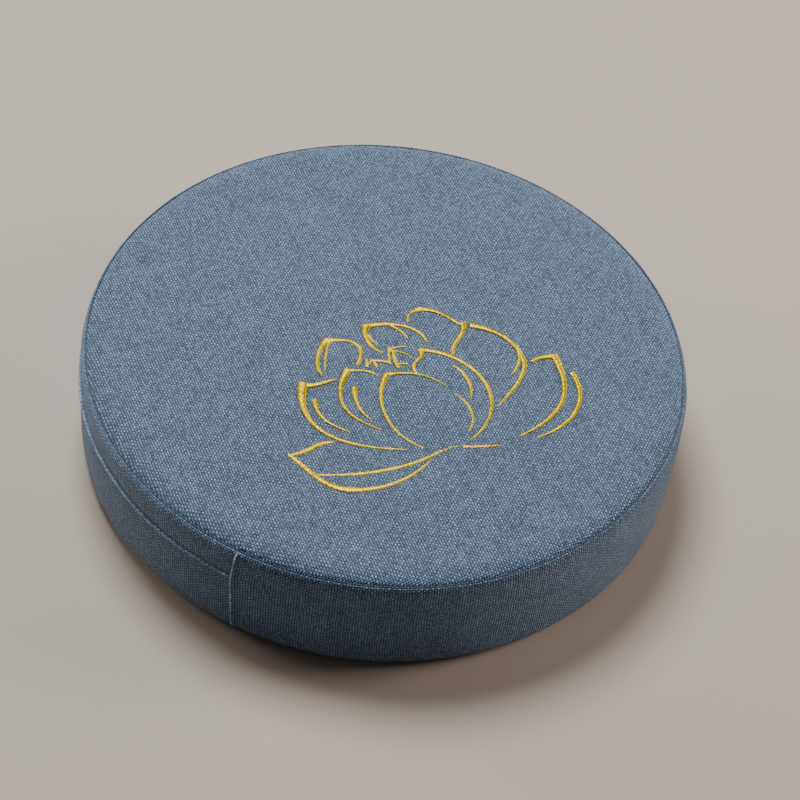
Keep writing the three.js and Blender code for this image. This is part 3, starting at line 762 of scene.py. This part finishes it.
# Lotus: machine embroidery in gold rayon. Each outline is satin stitch, thread laid side by side
# across the line over the full width and raised by the stitches beneath. Strokes are cubic
# curves in millimetres, each with its width at the start, middle and end.
lotus = {
    "lotus_centre_petal": [
        ((-1, -21), (-11, -44), (-3, -71), (20, -82), 5, 3, 1.5),
        ((-1, -21), (13, -17), (27, -19), (37, -29), 4, 2.4, 1.2),
        ((21, 2), (28, -6), (11, -8), (19, -20), 4.5, 3.6, 2),
        ((21, 2), (61, 1), (83, -44), (51, -74), 4.5, 4, 1.4),
        ((51, 28), (54, 17), (42, 11), (43, -2), 5.5, 4, 3),
        ((23, 39), (37, 39), (42, 31), (51, 25), 5, 4, 2.5),
        ((24, 39), (13, 35), (14, 30), (15, 27), 5.5, 2.4, 2),
    ],
    "lotus_centre_vein": [((43, -36), (54, -44), (56, -58), (50, -67), 1.4, 3, 1.4)],
    "lotus_wrap_vein": [((43, -11), (51, -17), (55, -28), (53, -39), 2, 3.8, 1.4)],
    "lotus_back_petal": [
        ((56, 26), (73, 23), (86, 14), (90, -5), 6, 4.5, 4),
        ((90, -4), (91, -16), (81, -31), (70, -45), 4, 4, 1.2),
        ((85, 10), (89, 0), (87, -9), (80, -18), 3.5, 3, 1),
    ],
    "lotus_far_petal": [
        ((95, -5), (98, -1), (103, 0), (110, 1), 3, 4, 6),
        ((110, 2), (121, -28), (116, -49), (82, -70), 6, 4.5, 1.4),
    ],
    "lotus_far_echo": [((121, -13), (131, -35), (121, -58), (94, -70), 4.5, 4, 1)],
    "lotus_upper_left_petal": [
        ((-14, 21), (6, 28), (24, 22), (26, 9), 5, 4, 2),
        ((3, 23), (9, 19), (12, 16), (14, 11), 3.2, 3, 1.2),
        ((-13, 22), (-16, 12), (-13, 3), (-3, -2), 7, 4, 2),
        ((-12, 13), (-11, 10), (-9, 8), (-6, 5), 3.5, 2.5, 1),
    ],
    "lotus_left_petal": [
        ((-40, 7), (-29, 9), (-21, 9), (-18, 1), 6, 3.4, 3),
        ((-18, 3), (-16, -5), (-19, -10), (-20, -14), 3.6, 4, 3),
        ((-39, 8), (-48, -5), (-47, -18), (-43, -24), 6, 4, 1),
        ((-38, 6), (-41, -6), (-41, -13), (-41, -19), 3, 2.4, 1),
    ],
    "lotus_mid_left_petal": [
        ((-27, -19), (-16, -17), (-9, -19), (-7, -23), 4, 3, 1.2),
        ((-26, -18), (-37, -41), (-32, -58), (-6, -68), 6, 3.2, 1.2),
    ],
    "lotus_mid_left_vein": [((-22, -33), (-23, -46), (-19, -54), (-12, -60), 5, 3, 1)],
    "lotus_lower_left_petal": [
        ((-57, -32), (-45, -34), (-41, -28), (-34, -27), 7, 4, 1.2),
        ((-55, -31), (-61, -64), (-42, -85), (10, -84), 8, 4, 1.5),
    ],
    "lotus_lower_left_vein": [((-48, -45), (-47, -58), (-42, -64), (-26, -71), 4.6, 3, 1.4)],
    "lotus_low_petal": [
        ((-37, -80), (-47, -80), (-51, -89), (-65, -92), 2.5, 5, 3),
        ((-65, -91), (-50, -105), (-45, -116), (-28, -118), 3, 5.5, 6),
        ((-29, -118), (-9, -119), (10, -111), (25, -92), 6, 4, 1.2),
        ((-48, -107), (-13, -107), (14, -98), (32, -84), 2, 4, 2),
        ((31, -85), (36, -82), (39, -80), (43, -80), 2, 1.4, 1.2),
    ],
    "lotus_base_dash": [((46, -80), (53, -80), (61, -79), (69, -78), 3.5, 3.2, 1.4)],
    "lotus_stamens": [
        ((1, 3), (1, -1), (1, -6), (1, -11), 3, 2.6, 2.4),
        ((1, 1), (4, 3), (8, 4), (13, 4), 2.6, 2, 1),
        ((1, 0), (7, 1), (12, -2), (16, -5), 2.4, 2, 1.2),
        ((4, 0), (4, -5), (5, -11), (7, -15), 3.4, 4, 3),
        ((6, -11), (8, -11), (11, -11), (13, -11), 3, 2.6, 2),
        ((-11, -9), (-7, -9), (-2, -9), (2, -11), 3, 3.4, 3),
        ((-14, -8), (-14, -10), (-14, -13), (-13, -15), 1.8, 2.6, 2.6),
        ((-14, -15), (-13, -12), (-11, -10), (-10, -9), 2.2, 2.4, 3),
        ((-9, -9), (-9, -11), (-8, -13), (-7, -15), 3, 3.4, 2.2),
    ],
}
lotus_place = (-0.4, -6.4)
satin_spacing, gold_radius = 0.00042, 0.00024
dice = np.random.default_rng(7)


def satin_stitches(stroke):
    """Both ends of every stitch of one stroke, and how far each bows up."""
    a, b, c, d = (0.001 * (np.array(p, float) + lotus_place) for p in stroke[:4])
    start_width, middle_width, end_width = (w * 0.001 for w in stroke[4:])
    t = np.linspace(0, 1, 400)[:, None]
    line = a * (1 - t) ** 3 + 3 * b * t * (1 - t) ** 2 + 3 * c * t ** 2 * (1 - t) + d * t ** 3
    run = np.cumsum(np.linalg.norm(np.diff(line, axis=0, prepend=line[:1]), axis=1))
    at = np.arange(0, run[-1], satin_spacing)
    t = np.interp(at, run, t[:, 0])
    middle = np.stack([np.interp(at, run, line[:, 0]), np.interp(at, run, line[:, 1])], 1)
    ahead = np.gradient(middle, axis=0)
    ahead = ahead / np.linalg.norm(ahead, axis=1, keepdims=True)
    across = np.stack([-ahead[:, 1], ahead[:, 0]], 1)
    end = np.where(t < 0.5, start_width, end_width)
    thin = 0.8 * middle_width
    width = thin + (end - thin) * (2 * t - 1) ** 2
    half = (width / 2 - 0.0002 + dice.uniform(-0.00014, 0.00014, (2, len(t))))[..., None]
    slant = 0.00018 * ahead
    return middle + across * half[0] - slant, middle - across * half[1] + slant, 0.0002 + 0.1 * width


def on_top(places):
    """Places on the flat, raised to the top panel's face."""
    return np.column_stack([places, top_height(np.hypot(*places.T))])


gold_thread = thread_material(
    "gold embroidery thread", (1.0, 0.82, 0.015), (1.0, 0.67, 0.003), 0.3, 0.37, metallic=0.9, painted_sheen_shade=0.3
)
for name, strokes in lotus.items():
    sewn = [satin_stitches(stroke) for stroke in strokes]
    left, right, rise = (np.concatenate(parts) for parts in zip(*sewn))
    piece_name = f"embroidered_{name}"
    up = np.array([0.0, 0.0, 1.0])
    mesh = stitch_mesh(piece_name, on_top(left), on_top(right), up, gold_radius, rise, rings=7)
    add_piece(piece_name, mesh, gold_thread, "embroidery_thread", name)


# Stabiliser: a thin oval of white non-woven sheet behind the embroidery, caught in its stitches
# on the inside of the top panel and trimmed by hand.
def soft_disc(name, outline, ripple, material, slot, node, centre=(0, 0), stretch=(1, 1), turns=192):
    """A round or oval piece turned from its cross-section, with a slightly uneven rim and faces.
    The outline runs from the middle of the underside out to the rim and back over the top."""
    angle = np.arange(turns + 1)[:, None] * 2 * math.pi / turns
    radius = np.broadcast_to(outline[:, 0], (turns + 1, len(outline)))
    share = radius / outline[:, 0].max()
    rim = sum(np.sin(n * angle + n * n) / n for n in (2, 3, 5, 11))
    radius = radius * (1 - 0.5 * ripple * share * (1.3 + rim) / outline[:, 0].max())
    bumps = np.sin(70 * radius * np.cos(angle) + 1) * np.sin(60 * radius * np.sin(angle) + 2)
    height = outline[:, 1] - 0.25 * ripple * (1 + bumps) * np.sign(outline[:, 1] - outline[:, 1].mean())
    x = centre[0] + stretch[0] * radius * np.cos(angle)
    y = centre[1] + stretch[1] * radius * np.sin(angle)
    points = np.stack([x, y, height], 2)
    flat = points[..., :2]
    side = np.stack(np.broadcast_arrays(angle * outline[:, 0].max(), height), 2)
    upright = (np.abs(np.gradient(outline[:, 1])) > np.abs(np.gradient(outline[:, 0])))[None, :, None]
    flat = np.where(upright, side, flat)
    flat = np.concatenate([flat, flat[:, :1]], 1)
    return add_piece(name, grid_mesh(name, points[:turns], flat, wrap=True), material, slot, node)


def slab(radius, low, high, rounding):
    """Cross-section of a flat round slab with a rounded edge."""
    turn = np.linspace(-math.pi / 2, math.pi / 2, 13)
    edge_radius = radius - rounding + rounding * np.cos(turn)
    half = min(rounding, (high - low) / 2)
    edge_height = np.where(turn < 0, low + half, high - half) + half * np.sin(turn)
    reach = np.linspace(0.0001, radius - rounding - 0.001, 40)
    lower = np.stack([reach, np.full(40, low)], 1)
    upper = np.stack([reach[::-1], np.full(40, high)], 1)
    wall = np.stack([edge_radius, edge_height], 1)
    if high - low > 3 * rounding:
        rise = np.linspace(low + 2 * half, high - 2 * half, 9)
        straight = np.stack([np.full(9, radius), rise], 1)
        wall = np.concatenate([wall[:6], straight, wall[7:]])
    return np.concatenate([lower, wall, upper])


def felted(name, light, dark, grain, depth, roughness=0.95, subsurface=0.0):
    """Fibre or foam without a weave: two close shades in fine grains, matt."""
    material = bpy.data.materials.new(name)
    tree, surface = node_tree(material)
    at = place(tree, "ShaderNodeTexCoord").outputs["Object"]
    fibres = place(tree, "ShaderNodeTexNoise", Vector=at, Scale=grain, Detail=5.0, Roughness=0.7)
    pores = place(tree, "ShaderNodeTexVoronoi", Vector=at, Scale=grain * 1.6)
    share = calculate(tree, "MULTIPLY", fibres.outputs["Fac"], pores.outputs["Distance"])
    share = place(tree, "ShaderNodeMapRange", Value=share, From_Min=0.1, From_Max=0.45).outputs["Result"]
    colour = mix_colours(tree, share, dark, light)
    tree.links.new(colour, surface.inputs["Base Color"])
    relief = place(tree, "ShaderNodeBump", Strength=0.7, Distance=depth, Height=share)
    tree.links.new(relief.outputs["Normal"], surface.inputs["Normal"])
    surface.inputs["Roughness"].default_value = roughness
    surface.inputs["Subsurface Weight"].default_value = subsurface
    surface.inputs["Subsurface Scale"].default_value = 0.002
    return material


non_woven = felted("non-woven sheet", (0.80, 0.79, 0.76), (0.58, 0.57, 0.55), 900, 0.0002)
low, high = (Vector(corner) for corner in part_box("embroidery_backing"))
middle, half_size = (low + high) / 2, (high - low) / 2
backing = slab(half_size.x, low.z, high.z, 0.0001)
soft_disc(
    "embroidery_stabiliser", backing, 0.00008, non_woven, "liner_cloth", "embroidery_backing",
    centre=(middle.x, middle.y), stretch=(1, half_size.y / half_size.x),
)


# Zip: a nylon coil zip. Each side is a woven tape with a coil of monofilament sewn along its
# edge, whose loops mesh with the other side's; metal stops are clamped on at the ends.
tape_cloth = woven_cloth(
    "zip tape", (0.040, 0.065, 0.105), (0.028, 0.045, 0.080), (0.006, 0.009, 0.016),
    spacings=(0.0006, 0.00045), relief_depth=0.0002,
)
tape_inner, tape_length_radius = 0.1925, 0.193
nylon_radius, loops, places_per_loop = 0.00026, 470, 10
nylon = thread_material("zip nylon", (0.075, 0.105, 0.155), (0.035, 0.052, 0.085), 0.2, 0.32)
for half_name, side in (("upper", 1), ("lower", -1)):
    steps = (
        (0, 0.0007), (0.0006, 0.0007), (0.0006, 0.0048), (0.0035, 0.0080),
        (0.0035, 0.0122), (0.0029, 0.0122), (0.0029, 0.0082), (0, 0.0050),
    )
    tape = [(tape_inner + out, slot_height + side * up) for out, up in steps]
    tape = clockwise(soften(tape, 1))
    angle = np.linspace(back_end + 0.5, front_end - 0.5, 240)[:, None]
    turn = np.radians(angle)
    radius, height = (np.broadcast_to(tape[:, k], (240, len(tape))) for k in (0, 1))
    points = np.stack([radius * np.cos(turn), radius * np.sin(turn), height], 2)
    length = np.cumsum(np.hypot(*np.diff(tape, axis=0, prepend=tape[:1]).T))
    length = np.append(length, length[-1] + 0.0005)
    cloth = np.stack(np.broadcast_arrays(turn * tape_length_radius, length[None]), 2)
    name = f"zip_tape_{half_name}_woven"
    mesh = grid_mesh(name, points, cloth, wrap=False)
    add_piece(name, mesh, tape_cloth, "zip_tape", f"zip_tape_{half_name}")
    run = np.arange(loops * places_per_loop + 1)
    turn = np.radians(np.linspace(back_end + 2.1, front_end - 2.3, len(run)))
    wind = 2 * math.pi * run / places_per_loop + (0 if side > 0 else math.pi)
    radius = tape_inner + 0.0015 + 0.00032 * np.cos(wind)
    height = slot_height + side * (0.00185 + 0.0010 * np.sin(wind))
    line = np.stack([radius * np.cos(turn), radius * np.sin(turn), height], 1)
    outward = np.stack([np.cos(turn), np.sin(turn), 0.01 + 0 * turn], 1)
    name = f"zip_coil_{half_name}_loops"
    mesh = thread_mesh(name, line[None], nylon_radius, outward[None])
    add_piece(name, mesh, nylon, "zip_coil", f"zip_coil_{half_name}")


# Zip metal: the slider and its pull, die-cast, and three stops clamped on the tapes. All are
# nickel-plated and dulled by handling; their solids are used as they are, with softened edges.
def plated_metal(name):
    """Greyish plating with fine scuffs and duller patches."""
    material = bpy.data.materials.new(name)
    tree, surface = node_tree(material)
    at = place(tree, "ShaderNodeTexCoord").outputs["Object"]
    patches = place(tree, "ShaderNodeTexNoise", Vector=at, Scale=260.0, Detail=4.0)
    scuffs = place(tree, "ShaderNodeTexNoise", Vector=at, Scale=2600.0, Detail=2.0)
    dull, bright = (0.34, 0.33, 0.31), (0.62, 0.61, 0.59)
    colour = mix_colours(tree, patches.outputs["Fac"], dull, bright)
    tree.links.new(colour, surface.inputs["Base Color"])
    rough = calculate(tree, "MULTIPLY_ADD", patches.outputs["Fac"], -0.25, 0.46)
    rough = calculate(tree, "MULTIPLY_ADD", scuffs.outputs["Fac"], 0.12, rough)
    tree.links.new(rough, surface.inputs["Roughness"])
    relief = place(tree, "ShaderNodeBump", Strength=0.25, Distance=0.00005, Height=scuffs.outputs["Fac"])
    tree.links.new(relief.outputs["Normal"], surface.inputs["Normal"])
    surface.inputs["Metallic"].default_value = 1
    return material


zip_metal = plated_metal("plated zip metal")
metal_nodes = ("zip_slider", "zip_pull", "zip_bottom_stop", "zip_top_stop_upper", "zip_top_stop_lower")
for node_name in metal_nodes:
    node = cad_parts[node_name]
    node.data.materials.clear()
    node.data.materials.append(zip_metal)
    bevel = node.modifiers.new("cast edges", "BEVEL")
    bevel.width = 0.00018
    bevel.segments = 2
    bevel.limit_method = "ANGLE"
    bevel.angle_limit = math.radians(40)


# Inner bag: a thin plain-weave bag that holds the filling. It is white lining cloth, a disc above
# and one below with a wall between them, machine-sewn shut.
lining = woven_cloth(
    "lining cloth", (0.80, 0.79, 0.76), (0.70, 0.69, 0.66), (0.30, 0.29, 0.27),
    spacings=(0.0008, 0.0008), relief_depth=0.0002, sheen=0.1,
)
for name, node in (("lining_top", "liner_top"), ("lining_bottom", "liner_bottom")):
    low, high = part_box(node)
    soft_disc(name, slab(high[0], low[2], high[2], 0.0003), 0.0002, lining, "liner_cloth", node)
low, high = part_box("liner_band")
wall = soften([
    (high[0] - 0.0006, low[2]), (high[0], low[2]), (high[0] + 0.0003, half_height),
    (high[0], high[2]), (high[0] - 0.0006, high[2]), (high[0] - 0.0003, half_height),
], 3)
wall = clockwise(wall)
angle = np.arange(361)[:, None] * math.pi / 180
radius = wall[:, 0] + 0.0002 * np.sin(31 * angle + 60 * wall[:, 1])
height = np.broadcast_to(wall[:, 1], radius.shape)
points = np.stack([radius * np.cos(angle), radius * np.sin(angle), height], 2)
cloth = np.stack(np.broadcast_arrays(angle * high[0], np.append(wall[:, 1], wall[0, 1])), 2)
wall_mesh = grid_mesh("lining_wall", points[:360], cloth, wrap=True)
add_piece("lining_wall", wall_mesh, lining, "liner_cloth", "liner_band")


# Filling: a slab of firm foam between two sheets of polyester wadding, so that the faces stay
# flat and the edges soft.
fluff = felted("polyester wadding", (0.86, 0.86, 0.84), (0.62, 0.62, 0.60), 260, 0.0012, subsurface=0.2)
for name, node in (("wadding_sheet_top", "wadding_top"), ("wadding_sheet_bottom", "wadding_bottom")):
    low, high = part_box(node)
    soft_disc(name, slab(high[0], low[2], high[2], 0.0035), 0.0005, fluff, "wadding", node)
foam = felted("polyurethane foam", (0.83, 0.75, 0.50), (0.56, 0.48, 0.27), 700, 0.0004, subsurface=0.1)
low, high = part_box("foam_core")
core = soft_disc("foam_slab", slab(high[0], low[2], high[2], 0.0015), 0.0003, foam, "foam", "foam_core")
